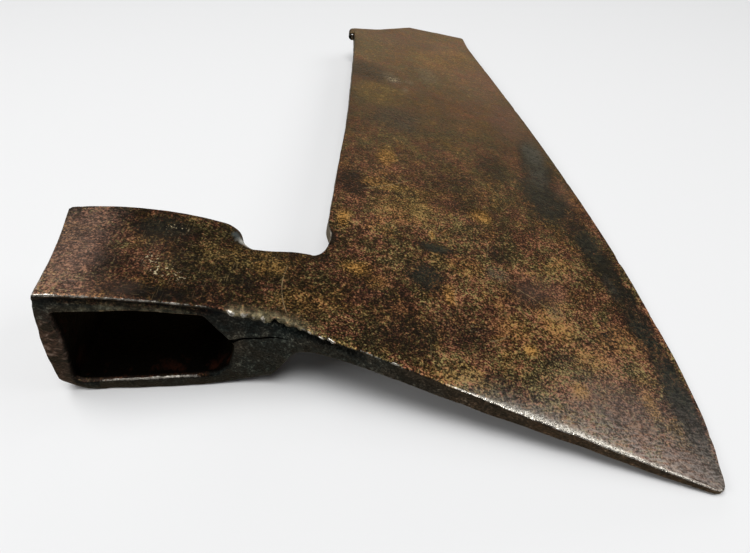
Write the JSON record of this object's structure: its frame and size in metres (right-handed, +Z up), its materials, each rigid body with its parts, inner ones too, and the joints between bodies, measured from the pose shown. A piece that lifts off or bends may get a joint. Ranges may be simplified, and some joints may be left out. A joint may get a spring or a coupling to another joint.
{
  "type": "goosewing axe head",
  "caption": "Forged goosewing hewing axe head: long swept blade with one flat side and a side-set haft eye, lying on its bevelled side.",
  "frame": {"origin": "middle of the underside of the head's box, on the table it lies on", "axes": "+Y along the blade from toe to heel and along the haft eye, +X from the poll to the cutting edge, +Z up from the table"},
  "size_m": [0.2118, 0.34, 0.046],
  "materials": {
    "forged_iron": "mottled dark brown and ochre patina over forged iron, worn bright along the near arris and around the eye"
  },
  "bodies": {
    "root": {"axe_head": "forged_iron"}
  },
  "joints": []
}
